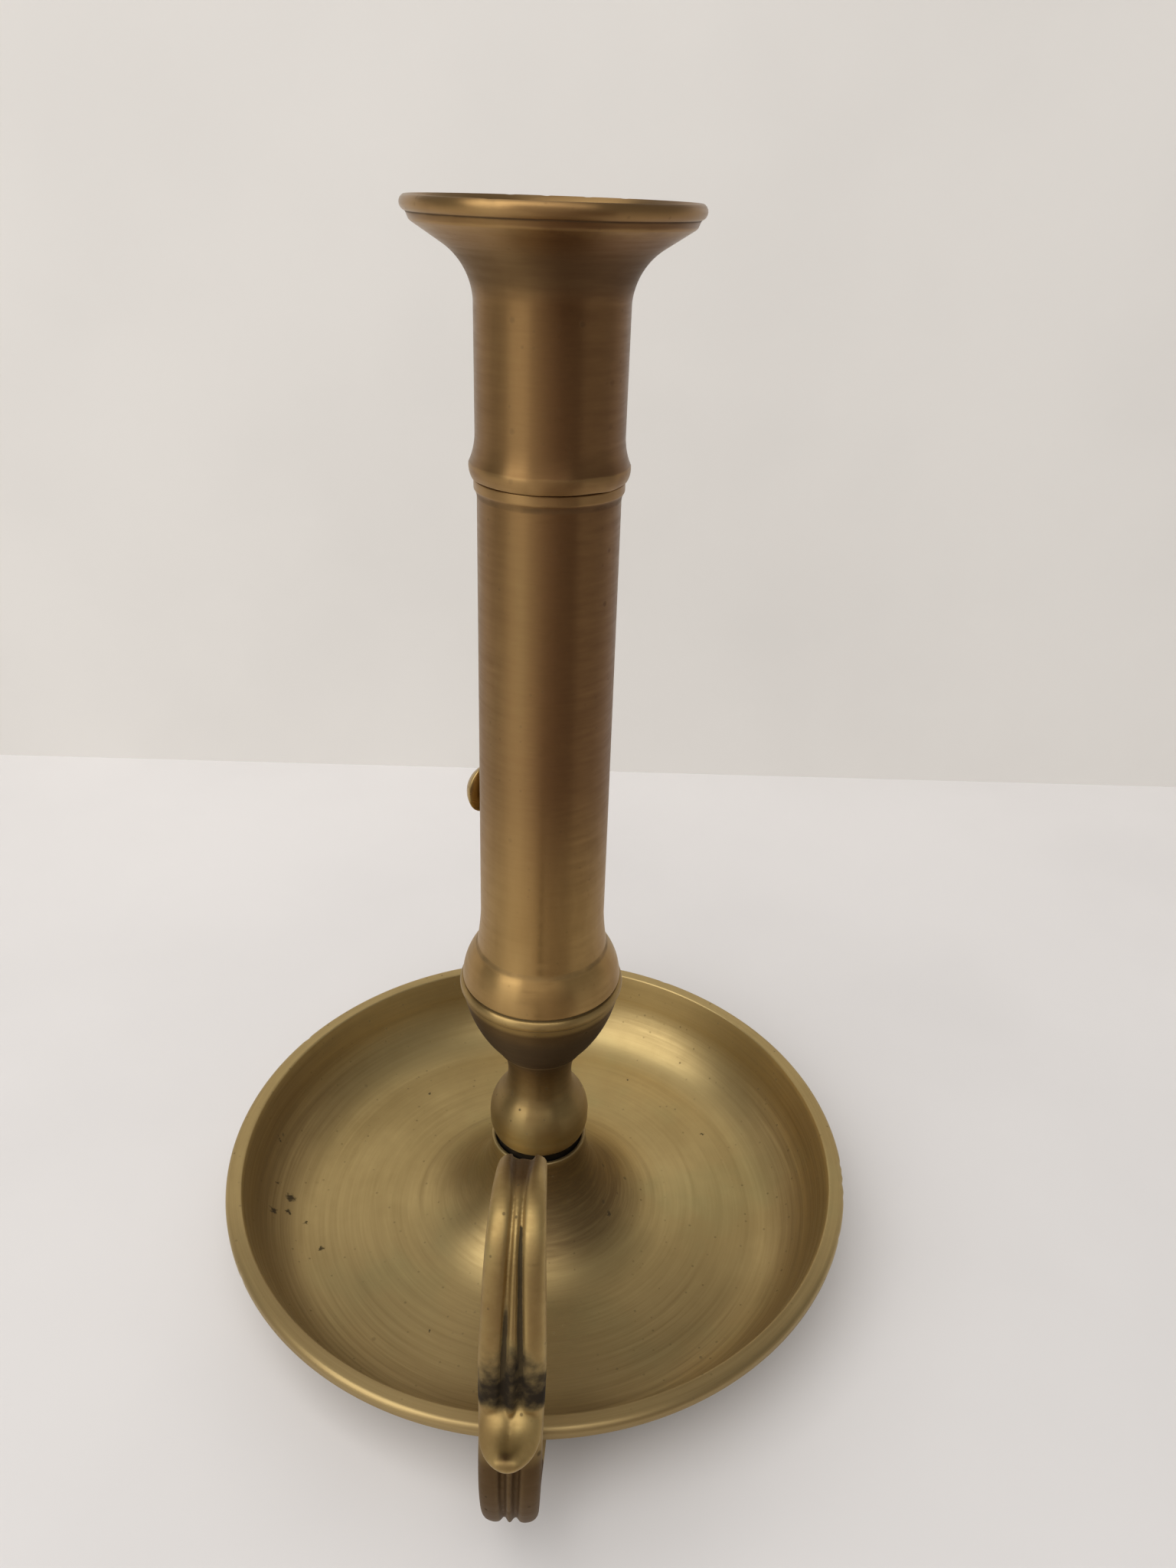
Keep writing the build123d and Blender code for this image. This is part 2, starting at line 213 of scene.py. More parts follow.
def press_dents(bm, edge, dents):
    """Presses small dents into a rim, each (direction and width in degrees, depth in mm).

    The edge is pushed in, and it drops by a share of that.
    """
    low_radius, low_height = edge
    for vert in bm.verts:
        radius = vert.co.xy.length
        if radius < low_radius * mm or vert.co.z < low_height * mm:
            continue
        for direction, width, depth in dents:
            facing = Vector((cos(radians(direction)), sin(radians(direction))))
            away = vert.co.xy.angle(facing) / radians(width)
            press = max(0, 1 - away**2) * depth * mm
            vert.co.xy *= 1 - press / radius
            vert.co.z -= press * dent_drop


rim_dents = [
    (-2, 0.9, 0.22), (-4.2, 0.7, 0.16), (-7, 1.1, 0.26), (-10.5, 0.8, 0.15), (-19, 0.9, 0.14),
    (63, 0.8, 0.12), (152, 1.0, 0.16), (214, 0.9, 0.12),
]
pan_bm = turned(pan_outline, corner=0.35, longest=3.0, segments=320)
press_dents(pan_bm, (69.2, 17.6), rim_dents)
mark_folds(pan_bm, passes=2)
pan = finish_piece(pan_bm, "pan_shell", "body", "drip_pan")

# %% [markdown]
# ## Stem
# The stem is a baluster: a foot bead, a bell, a narrow neck, a cup and a thin bead under the tube.
# Every curve in it is one arc of the compass, and the small ridge under the cup is a square step
# that polishing has softened.

# %% Make the stem
stem_outline = [
    (0.0, 10.4), (4.0, 10.4), (4.0, 26.2), (10.1, 26.2), (11.1, 30.3, 0.35), (8.6, 37.8, 0.86),
    (7.31, 40.6, -0.23), (9.1, 50.8, -0.9), (9.6, 50.8), (9.6, 51.3), (16.8, 67.3, 1.25),
    (16.8, 69.6, 0.55), (16.2, 69.6), (16.2, 70.2), (10.9, 70.2), (10.9, 78.2), (0.0, 78.2),
]
stem_bm = turned(stem_outline, corner=0.3, longest=3.0, segments=192)
mark_folds(stem_bm, passes=2)
stem = finish_piece(stem_bm, "stem_baluster", "body", "stem")

# %% [markdown]
# ## Candle tube
# The tube is drawn sheet with a rounded shoulder at its foot and a collar at its top. A slot on the
# far left lets the ejector's stud travel. The slot is cut with a Boolean, because its sides are
# parallel and its ends are round, and neither follows the tube's own rings.

# %% Make the candle tube
tube_outline = [
    (11.0, 70.2), (16.7, 70.2), (14.0, 77.6, 0.6), (13.45, 79.2, -0.12), (12.75, 86.0, -0.09),
    (12.5, 171.5),
    (13.05, 173.2, -0.15), (13.05, 174.8), (11.8, 174.8), (11.8, 182.8), (11.0, 182.8),
]
knob_direction = radians(143.4)
slot_low, slot_high, slot_half = 90.0 * mm, 166.0 * mm, 2.3 * mm
cutter_start, cutter_length = 6 * mm, 14 * mm


def slot_cutter():
    """A long bar with rounded ends, which lies across the tube's wall on the knob's side."""
    bm = bmesh.new()
    bmesh.ops.create_circle(bm, cap_ends=True, segments=32, radius=slot_half)
    stretch = (slot_high - slot_low) / 2 - slot_half
    for vert in bm.verts:
        vert.co.y += stretch if vert.co.y > 0 else -stretch
    sides = bmesh.ops.extrude_face_region(bm, geom=bm.faces[:])
    moved = [v for v in sides["geom"] if isinstance(v, bmesh.types.BMVert)]
    bmesh.ops.translate(bm, verts=moved, vec=(0, 0, cutter_length))
    upright = Matrix.Rotation(radians(90), 4, "X")
    facing = Matrix.Rotation(knob_direction + radians(90), 4, "Z")
    middle = Matrix.Translation((0, 0, (slot_low + slot_high) / 2))
    bmesh.ops.transform(bm, matrix=middle @ facing @ upright, verts=bm.verts[:])
    start = (cutter_start * cos(knob_direction), cutter_start * sin(knob_direction), 0)
    bmesh.ops.translate(bm, verts=bm.verts[:], vec=start)
    bmesh.ops.recalc_face_normals(bm, faces=bm.faces[:])
    return bm


def carve(bm, cutter_bm):
    """The first bmesh less the second, by an exact Boolean."""
    objects = []
    for part_bm in (bm, cutter_bm):
        mesh = bpy.data.meshes.new("carving")
        part_bm.to_mesh(mesh)
        part_bm.free()
        objects.append(bpy.data.objects.new("carving", mesh))
        bpy.context.scene.collection.objects.link(objects[-1])
    blank, cutter = objects
    cut = blank.modifiers.new("cut", "BOOLEAN")
    cut.operation, cut.solver, cut.object = "DIFFERENCE", "EXACT", cutter
    evaluated = blank.evaluated_get(bpy.context.evaluated_depsgraph_get())
    carved = bmesh.new()
    carved.from_mesh(evaluated.to_mesh())
    for spare in objects:
        bpy.data.meshes.remove(spare.data)
    return carved


tube_bm = carve(turned(tube_outline, corner=0.25, longest=4.0, segments=192), slot_cutter())
mark_folds(tube_bm, passes=1)
tube = finish_piece(tube_bm, "tube_sleeve", "body", "candle_tube")

# %% [markdown]
# ## Nozzle
# The nozzle is the upper barrel with its flared lip. Its lower edge was soldered to the tube by
# hand, so the joint wavers a little instead of running true. A slow noise along the ring gives the
# waver, and it fades out above the ring.

# %% Make the nozzle
nozzle_outline = [
    (11.85, 174.8), (13.3, 174.8), (13.85, 177.4, 0.2), (12.75, 182.6, -0.3), (12.75, 203.0),
    (17.3, 210.9, -1.06), (22.4, 214.1), (22.9, 215.3), (22.9, 217.7, 0.9), (21.5, 217.0),
    (13.6, 210.6), (11.4, 206.7, 0.5), (11.4, 183.1), (11.85, 183.1),
]
ring_low, ring_fade, ring_inside = 174.8 * mm, 3.2 * mm, 12.4 * mm
waver, waver_lift, waver_pace, waver_seed = 0.28 * mm, 0.6, 2.2, 3.1
nozzle_bm = turned(nozzle_outline, corner=0.28, longest=4.0, segments=256)
for vert in nozzle_bm.verts:
    fade = 1 - (vert.co.z - ring_low) / ring_fade
    if fade > 0 and vert.co.xy.length > ring_inside:
        around = vert.co.xy.normalized() * waver_pace
        vert.co.z += waver * fade * (waver_lift + noise.noise((around.x, around.y, waver_seed)))
lip_dents = [(78, 2.2, 0.18), (96, 1.6, 0.22), (112, 2.0, 0.15), (61, 1.8, 0.14), (250, 2.4, 0.12)]
press_dents(nozzle_bm, (21.8, 215.8), lip_dents)
mark_folds(nozzle_bm, passes=2)
nozzle = finish_piece(nozzle_bm, "nozzle_barrel", "body", "nozzle")

# %% [markdown]
# ## Ejector knob
# The knob is a small button that was turned on its own. It is drawn and spun like the rest, upright
# at the origin, and then laid on its side to face out of the slot.

# %% Make the ejector knob
knob_outline = [
    (0.0, 4.6), (2.1, 4.6), (2.1, 0.0), (3.0, 0.0), (3.0, 1.5), (5.3, 2.6, 0.28), (0.0, 6.0, 0.92),
]
knob_seat, knob_height = 12.75 * mm, 109.3 * mm
knob_bm = turned(knob_outline, corner=0.25, longest=2.0, segments=64)
outwards = Vector((cos(knob_direction), sin(knob_direction), 0))
lie = Vector((0, 0, 1)).rotation_difference(outwards).to_matrix().to_4x4()
place = Matrix.Translation(outwards * knob_seat + Vector((0, 0, knob_height)))
bmesh.ops.transform(knob_bm, matrix=place @ lie, verts=knob_bm.verts[:])
mark_folds(knob_bm, passes=1)
knob = finish_piece(knob_bm, "knob_button", "ejector", "ejector_knob")

# %% [markdown]
# ## Finger loop
# The loop is the one casting: a strap that leaves the pan's wall, rises outside the rim and curls
# over towards the stem, with a pointed spur where the thumb rests. Its outer face is hollow at the
# top, and lower down a rib rises in the hollow between two grooves. One section is extruded along
# the strap and reshaped at each step. The spur and the curled end are joined to it, and a voxel
# remesh flows the three together as the molten brass did.

# %% Draw the strap
# Along the strap from its curled end: out from the axis, height, width and depth in millimetres,
# the hollow's share of the width, and how far the rib stands up in it, from 0 to 1
strap_stations = [
    (54.1, 51.9, 5.3, 2.7, 0.5, 0.0), (50.5, 54.1, 6.0, 3.1, 0.5, 0.0),
    (49.0, 59.0, 7.0, 3.4, 0.52, 0.0), (51.1, 66.6, 7.8, 3.8, 0.56, 0.0),
    (57.4, 73.2, 8.3, 4.1, 0.52, 0.0), (65.8, 75.3, 8.9, 4.2, 0.26, 0.1),
    (71.6, 73.2, 9.5, 4.3, 0.26, 0.5), (74.8, 67.4, 10.0, 4.4, 0.30, 0.9),
    (77.0, 60.0, 10.6, 4.4, 0.33, 1.0), (79.1, 52.6, 11.1, 4.4, 0.38, 1.0),
    (79.8, 45.9, 10.9, 4.4, 0.40, 1.0), (81.2, 39.5, 10.5, 4.4, 0.36, 0.9),
    (83.2, 32.4, 10.6, 4.4, 0.34, 0.9), (84.3, 25.2, 10.3, 4.4, 0.32, 0.9),
    (83.2, 18.2, 9.8, 4.5, 0.30, 0.8), (79.2, 12.9, 9.4, 4.8, 0.30, 0.5),
    (73.4, 11.7, 9.8, 5.3, 0.30, 0.2), (66.3, 13.2, 11.0, 7.2, 0.30, 0.0),
    (61.5, 13.8, 11.0, 7.6, 0.30, 0.0),
]
# Round the strap: share of the half width, share of the depth, share that rises with the rib.
# The widths up to the hollow's edge, at 0.3, follow the hollow's share.
hollow_edge = 0.3
strap_section = [
    (0.00, -0.50, 0), (0.45, -0.50, 0), (0.80, -0.43, 0), (0.98, -0.24, 0), (1.03, 0.02, 0),
    (0.97, 0.26, 0), (0.82, 0.40, 0), (0.62, 0.46, 0), (0.44, 0.47, 0), (0.30, 0.41, 0),
    (0.22, 0.20, 0.0), (0.11, 0.24, 0.14), (0.06, 0.26, 0.27), (0.00, 0.26, 0.30),
]
strap_section += [(-x, y, rib) for x, y, rib in strap_section[-2:0:-1]]


def station_place(stations, index):
    """Frame of a station: x across the strap, y out of its outer face, z along the strap."""
    before = stations[max(index - 1, 0)]
    after = stations[min(index + 1, len(stations) - 1)]
    along = Vector((0, before[0] - after[0], after[1] - before[1])).normalized()
    across = Vector((1, 0, 0))
    place = Matrix((across, along.cross(across), along)).transposed().to_4x4()
    place.translation = Vector((0, -stations[index][0], stations[index][1])) * mm
    return place


def shape_ring(verts, around, section, stations, index):
    """Moves a ring of vertices to the section of a station."""
    place = station_place(stations, index)
    _, _, width, depth, hollow, rib = stations[index]
    for vert in verts:
        x, y, rise = section[vert[around]]
        if abs(x) <= hollow_edge and y > 0:
            x *= hollow / hollow_edge
        vert.co = place @ Vector((x * width / 2 * mm, (y + rise * rib) * depth * mm, 0))


def sweep_section(bm, section, stations):
    """Extrudes a section from station to station and closes both ends."""
    around = bm.verts.layers.int.get("around") or bm.verts.layers.int.new("around")
    ring = [bm.verts.new() for _ in section]
    for number, vert in enumerate(ring):
        vert[around] = number
    edges = [bm.edges.new((a, b)) for a, b in zip(ring, ring[1:] + ring[:1])]
    shape_ring(ring, around, section, stations, 0)
    bm.faces.new(ring)
    for index in range(1, len(stations)):
        grown = bmesh.ops.extrude_edge_only(bm, edges=edges)["geom"]
        ring = [g for g in grown if isinstance(g, bmesh.types.BMVert)]
        edges = [g for g in grown if isinstance(g, bmesh.types.BMEdge)]
        edges = [e for e in edges if all(v in ring for v in e.verts)]
        shape_ring(ring, around, section, stations, index)
    bm.faces.new(sorted(ring, key=lambda vert: vert[around]))
    bmesh.ops.recalc_face_normals(bm, faces=bm.faces[:])


loop_bm = bmesh.new()
sweep_section(loop_bm, strap_section, strap_stations)
print("strap:", len(strap_stations), "stations,", len(loop_bm.faces), "faces")

# %% [markdown]
# The spur is a broad petal with a shallow crease along its top and a full underside. It is swept in
# the same way, out of the strap and a little up, from a rounder section. The curled end is a short
# roll. Subdivision rounds all three before the remesh joins them.

# %% Add the spur and the roll, and flow them together
# Along the spur: out from the axis, height, width, depth, hollow and rib
spur_stations = [
    (76.5, 43.0, 10.6, 8.5, 0.3, 0.0), (79.5, 41.8, 10.8, 8.0, 0.3, 0.0),
    (82.3, 40.7, 10.9, 5.8, 0.3, 0.0), (85.0, 40.5, 10.4, 4.6, 0.3, 0.0),
    (87.6, 41.0, 8.8, 3.8, 0.3, 0.3), (89.6, 41.9, 6.0, 2.9, 0.3, 0.6),
    (90.6, 42.5, 3.2, 1.9, 0.3, 0.8),
]
spur_section = [
    (0.00, -0.50, 0), (0.40, -0.45, 0), (0.78, -0.26, 0), (1.02, 0.02, 0), (0.90, 0.25, 0),
    (0.60, 0.42, 0), (0.30, 0.48, 0), (0.10, 0.42, 0.08), (0.00, 0.36, 0.14),
]
spur_section += [(-x, y, rib) for x, y, rib in spur_section[-2:0:-1]]


def add_roll(bm, radius, width):
    """Rounded roll across the strap's curled end."""
    out, height = strap_stations[0][:2]
    place = Matrix.Translation(Vector((0, -out, height)) * mm)
    made = bmesh.ops.create_uvsphere(bm, u_segments=24, v_segments=16, radius=radius * mm)
    stretch = Matrix.Diagonal((width / (2 * radius), 1, 1, 1))
    bmesh.ops.transform(bm, matrix=place @ stretch, verts=made["verts"])


def flow_together(bm, voxel, smoothing):
    """Rounds overlapping shells, remeshes them into one skin and smooths it."""
    mesh = bpy.data.meshes.new("casting")
    bm.to_mesh(mesh)
    bm.free()
    casting = bpy.data.objects.new("casting", mesh)
    bpy.context.scene.collection.objects.link(casting)
    rounded = casting.modifiers.new("rounded", "SUBSURF")
    rounded.levels = rounded.render_levels = 3
    skin = casting.modifiers.new("skin", "REMESH")
    skin.mode, skin.voxel_size = "VOXEL", voxel
    even = casting.modifiers.new("even", "SMOOTH")
    even.factor, even.iterations = 0.5, smoothing
    evaluated = casting.evaluated_get(bpy.context.evaluated_depsgraph_get())
    flowed = bmesh.new()
    flowed.from_mesh(evaluated.to_mesh())
    bpy.data.meshes.remove(mesh)
    return flowed


sweep_section(loop_bm, spur_section, spur_stations)
add_roll(loop_bm, radius=2.7, width=6.6)
loop_bm = flow_together(loop_bm, voxel=0.26 * mm, smoothing=4)
print("casting:", len(loop_bm.faces), "faces")

# %% [markdown]
# The strap's foot is filed to sit against the pan's wall. The pan's own outline, a tenth of a
# millimetre larger, is turned once more as the cutter. Then the folds are measured. Some grooves
# have kept less grime than their folds say, some places are tarnished for other reasons, and the
# lower bend is darker from dirt and painted shade, so all are painted on the vertices.

# %% Fit the loop to the pan
seat_gap = 0.1
wall_outline = [(r + seat_gap, z, *rise) for r, z, *rise in pan_outline[1:8]]
wall_outline = [(0.0, 0.0)] + wall_outline + [(0.0, 20.5)]
loop_bm = carve(loop_bm, turned(wall_outline, corner=0.05, longest=6.0, segments=200))
mark_folds(loop_bm, passes=5, reach=radians(10))
fold = loop_bm.verts.layers.float["fold"]
stain_and_shade = loop_bm.verts.layers.float.new("stain_and_shade")
# Where the grooves lie, out from the axis and in height, and what other places keep of a fold
groove_near, groove_far, groove_low, groove_high = 62, 83.5, 46, 74
bare = 0.25


def near(value, centre, reach):
    """1 at a centre, falling to 0 at its reach."""
    return max(0, 1 - ((value - centre) / reach) ** 2)


for vert in loop_bm.verts:
    across, out, height = vert.co.x / mm, -vert.co.y / mm, vert.co.z / mm
    # The left groove has kept little grime in its upper half, and the curl and spur hardly any
    kept = 1.0 if across > 0 else bare + (1 - bare) * near(height, groove_low, 20)
    in_groove = groove_near < out < groove_far and groove_low < height < groove_high
    vert[fold] *= kept if in_groove else bare
    # Tarnish on the curl's top hollow and the spur's tip; dirt and painted shade on the lower bend
    hollow = min(1, 1.7 * near(across, 0, 3.2) * near(out, 55, 12)) * (height > 58)
    tip = near(across, -0.3, 1.4) * near(out, 89.3, 1.4) * (height > 41)
    bend_dirt_and_shade = min(1, max(0, (38 - height) / 5)) * (out > 71)
    vert[stain_and_shade] = max(hollow, tip, bend_dirt_and_shade)
loop = finish_piece(loop_bm, "loop_casting", "body", "finger_loop")

# %% [markdown]
# ## Shader helpers
# A material is a small program made of nodes. The helper adds a node and fills its sockets by name,
# with a link where the value comes from another node and a constant where it doesn't.

# %% Node helpers


def put(tree, kind, values=None, **settings):
    """Adds a node, sets its options and fills its inputs with links or constants."""
    made = tree.nodes.new(kind)
    for option, value in settings.items():
        setattr(made, option, value)
    for socket, value in (values or {}).items():
        if isinstance(value, bpy.types.NodeSocket):
            tree.links.new(value, made.inputs[socket])
        else:
            made.inputs[socket].default_value = value
    return made


def sum_of(tree, operation, *values, clamp=False):
    """Output of a Math node."""
    made = put(
        tree, "ShaderNodeMath", dict(enumerate(values)), operation=operation, use_clamp=clamp
    )
    return made.outputs[0]


def vector_sum(tree, operation, *values):
    """Output of a Vector Math node: a number for a measure, else a vector."""
    made = put(tree, "ShaderNodeVectorMath", dict(enumerate(values)), operation=operation)
    measures = ("LENGTH", "DISTANCE", "DOT_PRODUCT")
    return made.outputs["Value" if operation in measures else "Vector"]


def object_place(tree):
    """Place of a point in its object's own coordinates."""
    return put(tree, "ShaderNodeTexCoord").outputs["Object"]


def plan_place(tree):
    """The three coordinates of a point, and the point laid flat on the plan."""
    split = put(tree, "ShaderNodeSeparateXYZ", {0: object_place(tree)})
    flat = put(tree, "ShaderNodeCombineXYZ", {0: split.outputs[0], 1: split.outputs[1]})
    return split.outputs, flat.outputs[0]


def noise_of(tree, place, scale, detail, output=0):
    """Output of a Noise Texture node, its number unless the colour is asked for."""
    made = put(tree, "ShaderNodeTexNoise", {"Vector": place, "Scale": scale, "Detail": detail})
    return made.outputs[output]


def ramp(tree, value, low, high):
    """Value mapped smoothly from low and high to 0 and 1."""
    made = put(
        tree, "ShaderNodeMapRange", {"Value": value, "From Min": low, "From Max": high},
        interpolation_type="SMOOTHSTEP", clamp=True,
    )
    return made.outputs[0]


def blend_colours(tree, share, first, second):
    """Mix of two colours."""
    made = put(tree, "ShaderNodeMix", {0: share, 6: first, 7: second}, data_type="RGBA")
    return made.outputs[2]


def new_group(name, inputs, outputs):
    """An empty node group with named float inputs and outputs, and its two end nodes."""
    group = bpy.data.node_groups.new(name, "ShaderNodeTree")
    for label, default in inputs.items():
        socket = group.interface.new_socket(label, in_out="INPUT", socket_type="NodeSocketFloat")
        socket.default_value = default
    for label in outputs:
        group.interface.new_socket(label, in_out="OUTPUT", socket_type="NodeSocketFloat")
    start = group.nodes.new("NodeGroupInput")
    end = group.nodes.new("NodeGroupOutput")
    return group, start, end


print("node helpers ready")

# %% [markdown]
# ## Turning lines
# A lathe tool and years of polishing leave fine rings round the axis. In the shader they are a
# noise that changes quickly with the radius and the height and slowly round the axis. Sine and
# cosine of the direction stand in for the angle, so that there is no seam.

# %% Group for turning lines
lines_group, lines_in, lines_out = new_group(
    "turning_lines", {"Fineness": 900.0, "Run": 1.5}, ["Lines"]
)
coordinates, flat = plan_place(lines_group)
from_axis = vector_sum(lines_group, "LENGTH", flat)
heading = vector_sum(lines_group, "NORMALIZE", flat)
heading = put(lines_group, "ShaderNodeSeparateXYZ", {0: heading})
fineness, run = lines_in.outputs["Fineness"], lines_in.outputs["Run"]
ring_place = put(lines_group, "ShaderNodeCombineXYZ", {
    0: sum_of(lines_group, "MULTIPLY", from_axis, fineness),
    1: sum_of(lines_group, "MULTIPLY", coordinates[2], fineness),
    2: sum_of(lines_group, "MULTIPLY", heading.outputs[0], run),
}).outputs[0]
rings = put(lines_group, "ShaderNodeTexNoise", {
    "Vector": ring_place, "W": sum_of(lines_group, "MULTIPLY", heading.outputs[1], run),
    "Scale": 1.0, "Detail": 3.0, "Roughness": 0.65,
}, noise_dimensions="4D")
lines_group.links.new(rings.outputs[0], lines_out.inputs["Lines"])
print("group made:", lines_group.name)

# %% [markdown]
# ## Patina and pits
# Old brass isn't one colour. Slow clouds of brown and green lie over the yellow metal, and small
# dark pits break it up. Each is a mask from 0 to 1. The clouds can be drawn out upwards, because
# drips and rubbing leave streaks along a tube.

# %% Group for patina
patina_group, patina_in, patina_out = new_group(
    "patina", {"Size": 0.03, "Squeeze": 1.0}, ["Clouds", "Green", "Specks", "Pits", "Grain"]
)
where = object_place(patina_group)
split = put(patina_group, "ShaderNodeSeparateXYZ", {0: where})
size, squeeze = patina_in.outputs["Size"], patina_in.outputs["Squeeze"]
drawn = put(patina_group, "ShaderNodeCombineXYZ", {
    0: split.outputs[0], 1: split.outputs[1],
    2: sum_of(patina_group, "MULTIPLY", split.outputs[2], squeeze),
}).outputs[0]


def clouds_of(place, scale, detail, shift):
    """Noise at a place, moved so that no two clouds are alike."""
    moved = vector_sum(patina_group, "ADD", place, shift)
    made = put(patina_group, "ShaderNodeTexNoise", {
        "Vector": moved, "Scale": scale, "Detail": detail, "Roughness": 0.6,
    })
    return made.outputs[0]


def dots_of(scale, radius, rarity):
    """Round dots in some of the cells of a Voronoi pattern."""
    cells = put(patina_group, "ShaderNodeTexVoronoi", {"Vector": where, "Scale": scale})
    dot = ramp(patina_group, cells.outputs["Distance"], radius, radius * 0.4)
    chosen = put(patina_group, "ShaderNodeSeparateColor", {0: cells.outputs["Color"]}).outputs[0]
    return sum_of(patina_group, "MULTIPLY", dot, ramp(patina_group, chosen, rarity, 1.0))


per_metre = sum_of(patina_group, "DIVIDE", 1.0, size)
masks = {
    "Clouds": ramp(patina_group, clouds_of(drawn, per_metre, 5.0, (0, 0, 0)), 0.30, 0.70),
    "Green": ramp(patina_group, clouds_of(drawn, per_metre, 3.0, (0.3, 0.1, 0.2)), 0.52, 0.72),
    "Specks": dots_of(520.0, 0.20, 0.55),
    "Pits": dots_of(190.0, 0.13, 0.80),
    "Grain": clouds_of(where, 1500.0, 2.0, (0.1, 0.2, 0.3)),
}
for label, socket in masks.items():
    patina_group.links.new(socket, patina_out.inputs[label])
print("group made:", patina_group.name, list(masks))

# %% [markdown]
# ## Wear
# The folds that were measured on the mesh say where brass is rubbed bright and where grime stays.
# A noise breaks both up, so that neither follows an edge like a drawn line.

# %% Group for wear
wear_group, wear_in, wear_out = new_group("wear", {"Break": 0.004}, ["Ridge", "Hollow"])
fold = put(wear_group, "ShaderNodeAttribute", attribute_name="fold").outputs["Fac"]
scale = sum_of(wear_group, "DIVIDE", 1.0, wear_in.outputs["Break"])
broken = noise_of(wear_group, object_place(wear_group), scale, 4.0)
uneven = sum_of(wear_group, "MULTIPLY_ADD", broken, 1.5, 0.25)
uneven_fold = sum_of(wear_group, "MULTIPLY", fold, uneven)
ridge = ramp(wear_group, uneven_fold, 0.10, 0.60)
hollow = ramp(wear_group, uneven_fold, -0.12, -0.65)
wear_group.links.new(ridge, wear_out.inputs["Ridge"])
wear_group.links.new(hollow, wear_out.inputs["Hollow"])
print("group made:", wear_group.name)

# %% [markdown]
# ## Aged brass
# One recipe serves all the brass, with values of its own for each piece: a clean and a dull colour,
# how rough it is, and how deep the turning lines are. Metal takes its look from what it mirrors, so
# the colours stay modest and the lights do the rest. On some pieces the tarnish and grime masks
# also carry painted shade. Grime, and the painted shade that shares its mask, is the one thing
# here that isn't metal.
# Rings left by the lathe smear a reflection across them and not along them, so a turned piece gets
# an anisotropic shine whose tangent runs round the axis.

# %% Recipe for aged brass
# Tarnish colours, also used for painted shade: brown on pan, red on tube, dark on loop's bend
brown_tarnish_and_shade = (0.20, 0.135, 0.06, 1)
red_tarnish_and_shade = (0.19, 0.10, 0.042, 1)
dark_tarnish_and_shade = (0.12, 0.072, 0.03, 1)
# The grime colour also serves as painted shade under the cup and the nozzle's flare
grime_and_shade_colour = (0.020, 0.013, 0.006, 1)
# What verdigris and rubbing do to the clean colour's red, green and blue
verdigris, rubbing = (0.70, 0.95, 1.0), (1.3, 1.3, 1.35)


def share_of(tree, value, share):
    """A mask times a constant."""
    return sum_of(tree, "MULTIPLY", value, share)


def tinted(colour, change):
    """A colour with its red, green and blue changed, each at most 1."""
    return tuple(min(c * by, 1) for c, by in zip(colour, change)) + (1,)


def round_the_axis(tree):
    """Tangent that runs round the Z axis."""
    coordinates, _ = plan_place(tree)
    back = share_of(tree, coordinates[1], -1.0)
    return put(tree, "ShaderNodeCombineXYZ", {0: back, 1: coordinates[0]}).outputs[0]


